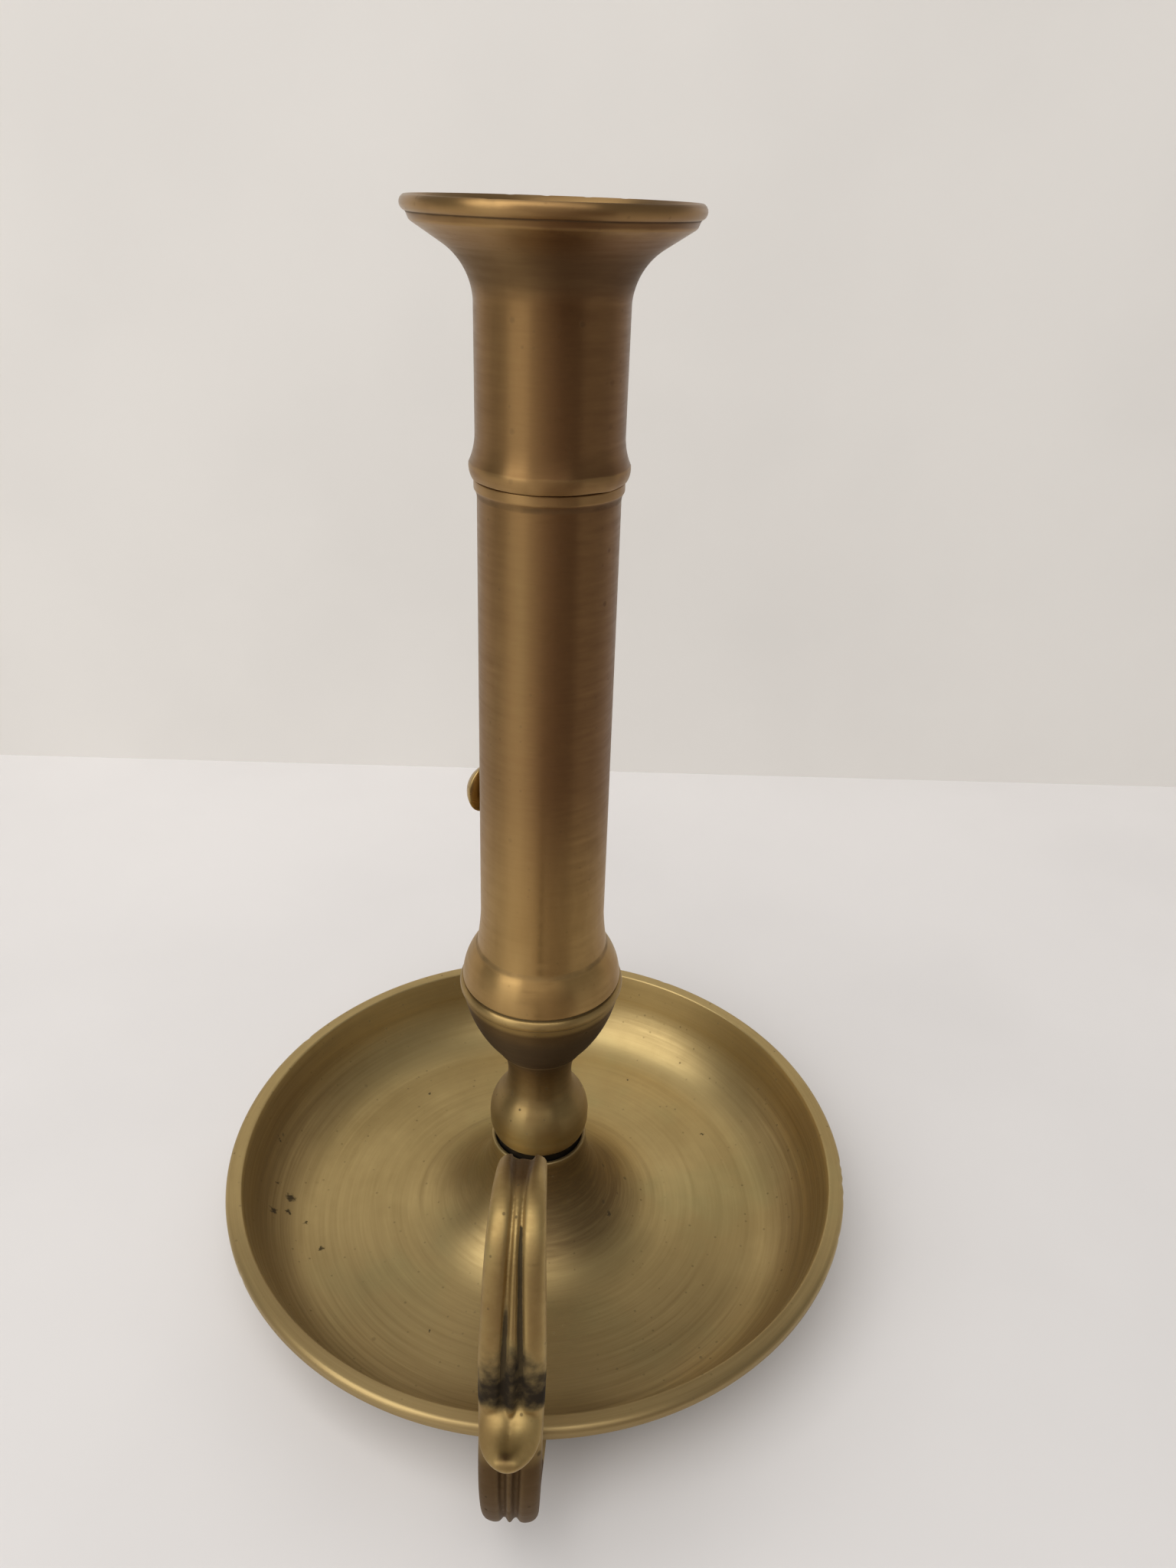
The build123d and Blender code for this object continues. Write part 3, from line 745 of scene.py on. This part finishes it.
def aged_brass(name, clean, dull, rough=0.3, lines=0.5, fineness=900.0, specks=0.5, pits=0.7,
               cloud_size=0.03, squeeze=1.0, wear=0.5, grime=0.8, green=0.25, brushed=0.88,
               tarnish_and_shade=None, tarnish_and_shade_colour=brown_tarnish_and_shade, spots_and_shade=None):
    """Material of old brass, from a clean to a dull colour; above zero, lines are turned rings.

    Tarnish and spots are functions that add masks of tarnish and dark dirt, some with painted
    shade.
    """
    material = bpy.data.materials.new(name)
    material.use_nodes = True
    tree = material.node_tree
    tree.nodes.clear()
    rings = put(tree, "ShaderNodeGroup", {"Fineness": fineness}, node_tree=lines_group)
    clouds = {"Size": cloud_size, "Squeeze": squeeze}
    old = put(tree, "ShaderNodeGroup", clouds, node_tree=patina_group)
    rubbed = put(tree, "ShaderNodeGroup", node_tree=wear_group)
    line = sum_of(tree, "SUBTRACT", rings.outputs["Lines"], 0.5)
    dulled = sum_of(tree, "ADD", old.outputs["Clouds"], share_of(tree, line, lines), clamp=True)
    colour = blend_colours(tree, dulled, clean, dull)
    greenish = share_of(tree, old.outputs["Green"], green)
    colour = blend_colours(tree, greenish, colour, tinted(clean, verdigris))
    roughness = sum_of(tree, "ADD", share_of(tree, line, 0.25), rough)
    # The tarnish mask also carries painted shade on the pan, the tube and the loop's lower bend
    if tarnish_and_shade:
        broken = sum_of(tree, "MULTIPLY_ADD", share_of(tree, line, lines), 0.8, 1.0)
        tarnish_and_shade_share = sum_of(tree, "MULTIPLY", tarnish_and_shade(tree), broken, clamp=True)
        colour = blend_colours(tree, tarnish_and_shade_share, colour, tarnish_and_shade_colour)
        roughness = sum_of(tree, "ADD", roughness, share_of(tree, tarnish_and_shade_share, 0.06))
    ridge = share_of(tree, rubbed.outputs["Ridge"], wear)
    colour = blend_colours(tree, ridge, colour, tinted(clean, rubbing))
    dirt_and_shade = sum_of(tree, "MAXIMUM", share_of(tree, rubbed.outputs["Hollow"], grime),
                  share_of(tree, old.outputs["Specks"], specks))
    dirt_and_shade = sum_of(tree, "MAXIMUM", dirt_and_shade, share_of(tree, old.outputs["Pits"], pits))
    # Spots add dirt, and on the stem and nozzle painted shade under the cup and the flare
    if spots_and_shade:
        dirt_and_shade = sum_of(tree, "MAXIMUM", dirt_and_shade, spots_and_shade(tree))
    colour = blend_colours(tree, dirt_and_shade, colour, grime_and_shade_colour)
    roughness = sum_of(tree, "ADD", roughness, share_of(tree, old.outputs["Clouds"], 0.06))
    roughness = sum_of(tree, "ADD", roughness, share_of(tree, ridge, -0.06))
    roughness = sum_of(tree, "ADD", roughness, share_of(tree, dirt_and_shade, 0.45), clamp=True)
    metal = sum_of(tree, "ADD", share_of(tree, dirt_and_shade, -0.8), 1.0, clamp=True)
    grain = share_of(tree, old.outputs["Grain"], 0.2)
    height = sum_of(tree, "ADD", share_of(tree, line, lines), grain)
    height = sum_of(tree, "SUBTRACT", height, share_of(tree, old.outputs["Pits"], 0.8))
    relief = {"Strength": 0.25, "Distance": 0.08 * mm, "Height": height}
    bump = put(tree, "ShaderNodeBump", relief)
    shader = put(tree, "ShaderNodeBsdfPrincipled", {
        "Base Color": colour, "Roughness": roughness, "Metallic": metal, "Normal": bump.outputs[0],
        "Specular IOR Level": 0.25,
    })
    if lines > 0:
        shader.inputs["Anisotropic"].default_value = brushed
        shader.inputs["Anisotropic Rotation"].default_value = 0.25
        tree.links.new(round_the_axis(tree), shader.inputs["Tangent"])
    put(tree, "ShaderNodeOutputMaterial", {"Surface": shader.outputs[0]})
    return material


print("tarnish is", brown_tarnish_and_shade[:3], "or", red_tarnish_and_shade[:3], "or", dark_tarnish_and_shade[:3])

# %% [markdown]
# Hot wax and damp have left a few larger dark stains on the left of the pan's floor. Each is a
# small distance field whose edge is roughened by noise.

# %% Stains on the pan
# Place on the pan and radius of each stain, in millimetres
pan_stains = [
    (-58.1, -6.0, 1.25), (-60.3, -12.2, 1.05), (-57.6, -10.3, 0.75), (-61.4, -4.0, 0.7),
    (-53.2, -11.6, 0.45), (-48.2, -18.2, 0.75), (-63.3, 6.5, 0.5), (17.0, -9.0, 0.6),
    (-20.9, -37.9, 0.5), (22.0, 41.0, 0.5), (41.0, 22.0, 0.45), (-31.0, 33.0, 0.45),
]
# How far a stain's edge strays, and the heights between which the pan's upper side begins
stain_stray, upper_side = 2.2 * mm, (1.5 * mm, 2.5 * mm)


def stain_mask(tree):
    """Mask of the stains, on the upper side of the pan."""
    where = object_place(tree)
    rough = noise_of(tree, where, 1100.0, 4.0, output="Color")
    shift = vector_sum(tree, "SUBTRACT", rough, (0.5, 0.5, 0.5))
    shift = vector_sum(tree, "MULTIPLY", shift, (stain_stray, stain_stray, 0))
    place = vector_sum(tree, "ADD", where, shift)
    flat = vector_sum(tree, "MULTIPLY", place, (1, 1, 0))
    mask = 0.0
    for x, y, radius in pan_stains:
        away = vector_sum(tree, "DISTANCE", flat, (x * mm, y * mm, 0))
        dark = ramp(tree, away, radius * mm, radius * 0.35 * mm)
        mask = sum_of(tree, "MAXIMUM", dark, mask)
    height = put(tree, "ShaderNodeSeparateXYZ", {0: where}).outputs[2]
    return sum_of(tree, "MULTIPLY", mask, share_of(tree, ramp(tree, height, *upper_side), 0.85))


print(len(pan_stains), "stains on the pan")

# %% [markdown]
# Brown tarnish follows the shape too. The pan's wall is seldom rubbed, so it is browner than the
# floor, and so is the dome; a faint dark ring at its foot is the painted shadow of a small step.
# The tube is golden near its shoulder and browner above. Painted shade darkens the right and front
# of the tube and the dome, and the pan's near side. On the loop, tarnish and the painted shade on
# the lower bend are painted on the vertices.

# %% Where tarnish and painted shade lie
shaded_side_heading = radians(-25)


def place_on(tree):
    """Radius, depth towards the back and height of a point, in metres."""
    coordinates, flat = plan_place(tree)
    return vector_sum(tree, "LENGTH", flat), coordinates[1], coordinates[2]


def shaded_side(tree):
    """1 on the right and front, which get painted shade, and 0 on the left and back."""
    heading = vector_sum(tree, "NORMALIZE", plan_place(tree)[1])
    middle = (cos(shaded_side_heading), sin(shaded_side_heading), 0)
    return ramp(tree, vector_sum(tree, "DOT_PRODUCT", heading, middle), 0.05, 0.6)


def band(tree, value, middle, reach, full):
    """Band about a middle value: 1 where it is full and 0 at its reach, in millimetres."""
    away = sum_of(tree, "ABSOLUTE", sum_of(tree, "SUBTRACT", value, middle * mm))
    return ramp(tree, away, reach * mm, full * mm)


def pan_tarnish_and_shade(tree):
    """Browner on wall and dome; painted shade on the near and right sides and at the dome's foot.
    """
    radius, depth, height = place_on(tree)
    wall_band = share_of(tree, ramp(tree, radius, 50 * mm, 62 * mm), 0.75)
    back = share_of(tree, ramp(tree, depth, 10 * mm, 55 * mm), 0.5)
    rim = share_of(tree, ramp(tree, radius, 66.6 * mm, 67.4 * mm), 0.45)
    wall_band = sum_of(tree, "SUBTRACT", wall_band, sum_of(tree, "MAXIMUM", back, rim), clamp=True)
    # The dome is brown, and darker on its right and front as painted shade
    dome_share = sum_of(tree, "ADD", share_of(tree, shaded_side(tree), 0.45), 0.5)
    dome = sum_of(tree, "MULTIPLY", ramp(tree, radius, 30 * mm, 17 * mm), dome_share)
    # Painted shade on the pan's near side, darker towards the front
    near_side_shade = share_of(tree, ramp(tree, depth, 15 * mm, -62 * mm), 0.75)
    # A thin painted shadow ring at the dome's foot, where a small step would throw one
    ring = share_of(tree, band(tree, radius, 27.8, 1.3, 0.2), 0.22)
    brown = sum_of(tree, "MAXIMUM", sum_of(tree, "MAXIMUM", wall_band, dome), ring)
    brown = sum_of(tree, "MAXIMUM", brown, near_side_shade)
    return sum_of(tree, "MULTIPLY", brown, ramp(tree, height, *upper_side))


def stem_tarnish(tree):
    """Brown over the neck and darkest on the underside of the cup."""
    height = place_on(tree)[2]
    cup = ramp(tree, height, 30 * mm, 52 * mm)
    return sum_of(tree, "SUBTRACT", cup, ramp(tree, height, 65.2 * mm, 66.6 * mm), clamp=True)


def cup_grime_and_shade(tree):
    """Dark under the cup: grime where no cloth reaches, and painted shade under its overhang."""
    height = place_on(tree)[2]
    return share_of(tree, band(tree, height, 57, 10, 3), 0.5)


def tube_tarnish_and_shade(tree):
    """Browner towards the top, and darker on the right and front as painted shade."""
    height = place_on(tree)[2]
    # Painted shade makes the right and front darker
    share = sum_of(tree, "ADD", share_of(tree, shaded_side(tree), 0.4), 0.55)
    return sum_of(tree, "MULTIPLY", ramp(tree, height, 84 * mm, 125 * mm), share)


def flare_shade(tree):
    """Painted shade under the nozzle's flare."""
    height = place_on(tree)[2]
    return share_of(tree, band(tree, height, 208, 5, 1), 0.35)


def loop_grime(tree):
    """Grime across the whole strap above the spur, fading upwards in blotches."""
    where = object_place(tree)
    across, depth, height = put(tree, "ShaderNodeSeparateXYZ", {0: where}).outputs
    above = sum_of(tree, "ADD", height, sum_of(tree, "ABSOLUTE", across))
    strip = sum_of(tree, "MULTIPLY", ramp(tree, above, 68 * mm, 50 * mm),
                   ramp(tree, height, 42.5 * mm, 45.5 * mm))
    blotch = sum_of(tree, "SUBTRACT", noise_of(tree, where, 380.0, 5.0), 0.5)
    uneven = sum_of(tree, "ADD", strip, share_of(tree, blotch, 0.9))
    outside = ramp(tree, depth, -74 * mm, -77 * mm)
    inside_spur = ramp(tree, depth, -85 * mm, -83 * mm)
    uneven = sum_of(tree, "MULTIPLY", ramp(tree, uneven, 0.35, 1.05), outside)
    return sum_of(tree, "MULTIPLY", uneven, inside_spur)


def loop_tarnish_and_shade(tree):
    """Tarnish, and dirt and painted shade on the lower bend, as painted on the vertices."""
    return put(tree, "ShaderNodeAttribute", attribute_name="stain_and_shade").outputs["Fac"]


# The heading printed here is where the painted shade is darkest
print("a cloth has rubbed least at", round(degrees(shaded_side_heading)), "degrees")

# %% [markdown]
# ## Finishes
# The pan is the palest, a satin olive gold with clear rings. The tube and nozzle are a little
# redder, the stem sits between them, and the casting is browner and dark in its grooves.

# %% Dress the pieces


def dress(material, *objects):
    """Gives objects one material."""
    for thing in objects:
        thing.data.materials.clear()
        thing.data.materials.append(material)
    print(material.name, "on", ", ".join(thing.name for thing in objects))


dress(aged_brass("pan_satin_brass", (0.55, 0.415, 0.185, 1), (0.465, 0.345, 0.148, 1), rough=0.38,
                 lines=1.2, fineness=1100.0, brushed=0.6, specks=0.35, pits=0.5, grime=0.35,
                 wear=0.15, tarnish_and_shade=pan_tarnish_and_shade, spots_and_shade=stain_mask), pan)
dress(aged_brass("stem_turned_brass", (0.36, 0.25, 0.10, 1), (0.28, 0.185, 0.07, 1), rough=0.38,
                 lines=0.4, grime=0.6, wear=0.3, tarnish_and_shade=stem_tarnish, tarnish_and_shade_colour=dark_tarnish_and_shade,
                 spots_and_shade=cup_grime_and_shade), stem)
tube_colours = (0.42, 0.27, 0.105, 1), (0.33, 0.20, 0.073, 1)
tube_look = dict(rough=0.36, lines=0.35, squeeze=0.2, cloud_size=0.018, specks=0.15, pits=0.25,
                 grime=0.6, wear=0.3, tarnish_and_shade=tube_tarnish_and_shade, tarnish_and_shade_colour=red_tarnish_and_shade)
dress(aged_brass("tube_drawn_brass", *tube_colours, **tube_look), tube)
dress(aged_brass("nozzle_drawn_brass", *tube_colours, spots_and_shade=flare_shade, **tube_look), nozzle)
dress(aged_brass("loop_cast_brass", (0.42, 0.30, 0.12, 1), (0.30, 0.20, 0.078, 1), rough=0.50,
                 lines=0.0, cloud_size=0.010, grime=0.9, wear=0.2, tarnish_and_shade=loop_tarnish_and_shade,
                 tarnish_and_shade_colour=dark_tarnish_and_shade, spots_and_shade=loop_grime), loop)
dress(aged_brass("knob_turned_brass", (0.38, 0.265, 0.105, 1), (0.28, 0.19, 0.07, 1), rough=0.3,
                 lines=0.0), knob)
dress(aged_brass("fitting_brass", (0.36, 0.26, 0.11, 1), (0.26, 0.18, 0.07, 1), rough=0.4,
                 lines=0.0), nodes["stem_washer"], nodes["stem_nut"], nodes["ejector_stud"],
      nodes["lifter_cup"], nodes["spring_rivet"], nodes["handle_screws"])
# The bedding ring is nearly black: grime in the recess under the stem, and painted shade there
dress(aged_brass("bedding_grime_and_shade", (0.045, 0.040, 0.034, 1), (0.02, 0.017, 0.013, 1), rough=0.55,
                 lines=0.0, cloud_size=0.004), nodes["bedding_ring"])
dress(aged_brass("spring_dull_steel", (0.40, 0.40, 0.39, 1), (0.24, 0.23, 0.22, 1), rough=0.36,
                 lines=0.0, green=0.0), nodes["friction_spring"])

# %% [markdown]
# ## Table and wall
# The stick stands on a pale table close to a pale wall. Both are plain sheets. The wall lets itself
# be seen through from behind, so that the object can be looked at from every side.

# %% Make the stage
wall_distance, wall_turn = 0.230, radians(-1.35)
stage_reach, wall_height = 2.0, 0.36
table_colour, wall_colour = (0.74, 0.72, 0.71, 1), (0.76, 0.735, 0.70, 1)


def stage_sheet(name, corners, colour, rough, show=True):
    """One flat sheet of the stage, in a plain painted finish with a faint unevenness."""
    bm = bmesh.new()
    bm.faces.new([bm.verts.new(corner) for corner in corners])
    mesh = bpy.data.meshes.new(name)
    bm.to_mesh(mesh)
    bm.free()
    sheet = bpy.data.objects.new(name, mesh)
    bpy.context.scene.collection.objects.link(sheet)
    sheet.visible_camera = show
    material = bpy.data.materials.new(name + "_paint")
    material.use_nodes = True
    tree = material.node_tree
    tree.nodes.clear()
    blotch = noise_of(tree, object_place(tree), 9.0, 3.0)
    darker = tinted(colour, (0.96, 0.96, 0.96))
    paint = put(tree, "ShaderNodeBsdfPrincipled", {
        "Base Color": blend_colours(tree, ramp(tree, blotch, 0.35, 0.7), colour, darker),
        "Roughness": rough,
    })
    clear = put(tree, "ShaderNodeBsdfTransparent")
    behind = put(tree, "ShaderNodeNewGeometry").outputs["Backfacing"]
    both = put(tree, "ShaderNodeMixShader", {0: behind, 1: paint.outputs[0], 2: clear.outputs[0]})
    put(tree, "ShaderNodeOutputMaterial", {"Surface": both.outputs[0]})
    mesh.materials.append(material)
    return sheet


left, right_side, front = -stage_reach, stage_reach, -stage_reach
far_left = wall_distance + stage_reach * sin(wall_turn)
far_right = wall_distance - stage_reach * sin(wall_turn)
stage_sheet("table_top", [
    (left, front, 0), (right_side, front, 0), (right_side, far_right, 0), (left, far_left, 0),
], table_colour, rough=0.5)
stage_sheet("back_wall", [
    (left, far_left, 0), (right_side, far_right, 0),
    (right_side, far_right, wall_height), (left, far_left, wall_height),
], wall_colour, rough=0.6)
print("stage made, wall at", wall_distance, "m")

# %% [markdown]
# ## Dark cards
# Polished metal shows what stands round it. A photographer who wants a dark half on a bright
# cylinder puts a dark card where that half looks. Here one card lies on the table outside the
# picture, and a second one stands behind the camera. The edge between card and table is what the
# tube and stem show as an upright line. Only the metal sees the cards: they are hidden from the
# camera, throw no shadow and don't tint the table.

# %% Lay out the dark cards
card_colour = (0.20, 0.135, 0.11, 1)
card_near, card_far, card_lift = -0.15, -0.75, 0.0006
near_left, near_right = -0.008, 0.22
card_left, card_right, card_top = -0.30, 0.8, 0.3
tall_left, tall_right, tall_top = -0.45, 0.35, 1.2
floor_card = stage_sheet("floor_card", [
    (near_left, card_near, card_lift), (card_left, card_far, card_lift),
    (card_right, card_far, card_lift), (near_right, card_near, card_lift),
], card_colour, rough=0.7, show=False)
standing_card = stage_sheet("standing_card", [
    (tall_left, card_far, 0), (tall_left, card_far, tall_top), (tall_right, card_far, tall_top),
    (tall_right, card_far, card_top), (card_right, card_far, card_top), (card_right, card_far, 0),
], card_colour, rough=0.7, show=False)
for card in (floor_card, standing_card):
    card.visible_shadow = False
    card.visible_diffuse = False
print("cards laid out from", card_near, "to", card_far, "m")

# %% [markdown]
# ## Light
# The light is soft and comes from above, a little from the left and the front, as from a wide
# ceiling. One large lamp does that, and the room round it gives the rest.

# %% Make the lights


def soft_lamp(name, place, target, size, power, colour):
    """Square area lamp at a place, turned to a target."""
    lamp = bpy.data.lights.new(name, "AREA")
    lamp.shape, lamp.size, lamp.energy, lamp.color = "SQUARE", size, power, colour
    holder = bpy.data.objects.new(name, lamp)
    holder.location = place
    holder.rotation_euler = (Vector(target) - Vector(place)).to_track_quat("-Z", "Y").to_euler()
    bpy.context.scene.collection.objects.link(holder)


soft_lamp("ceiling_lamp", place=(-0.6, -1.1, 1.6), target=(-0.05, -0.2, 0), size=2.6, power=50.0,
          colour=(1.0, 0.985, 0.97))
room_colour, room_strength = (0.80, 0.785, 0.77, 1), 0.38
world = bpy.data.worlds.new("room")
bpy.context.scene.world = world
world.use_nodes = True
world.node_tree.nodes.clear()
glow = {"Color": room_colour, "Strength": room_strength}
room = put(world.node_tree, "ShaderNodeBackground", glow)
put(world.node_tree, "ShaderNodeOutputWorld", {"Surface": room.outputs[0]})
print("lamp and room made")

# %% [markdown]
# ## Camera
# The photograph was taken from close by, a little above the nozzle and tilted down. The camera was
# fitted to the round edges of the pan and the nozzle, and it leans by a couple of degrees.

# %% Place the camera
camera_place = Vector((9.19, -198.55, 220.94)) * mm
yaw, pitch, roll = radians(-0.198), radians(27.915), radians(2.1)
focal_pixels, image_height, sensor = 1500, 2048, 36.0
ahead = Vector((sin(yaw) * cos(pitch), cos(yaw) * cos(pitch), -sin(pitch)))
level = Vector((cos(yaw), -sin(yaw), 0))
upright = level.cross(ahead)
right = cos(roll) * level + sin(roll) * upright
up = cos(roll) * upright - sin(roll) * level
camera_data = bpy.data.cameras.new("photo_camera")
camera_data.sensor_fit = "VERTICAL"
camera_data.sensor_height = sensor
camera_data.lens = focal_pixels / image_height * sensor
camera_data.clip_start = 0.01
camera = bpy.data.objects.new("photo_camera", camera_data)
turn = Matrix((right, up, -ahead)).transposed().to_4x4()
camera.matrix_world = Matrix.Translation(camera_place) @ turn
bpy.context.scene.collection.objects.link(camera)
bpy.context.scene.camera = camera
bpy.context.scene.view_settings.view_transform = "Standard"
print("lens", round(camera_data.lens, 2), "mm")

# %% Finish
bpy.context.view_layer.update()
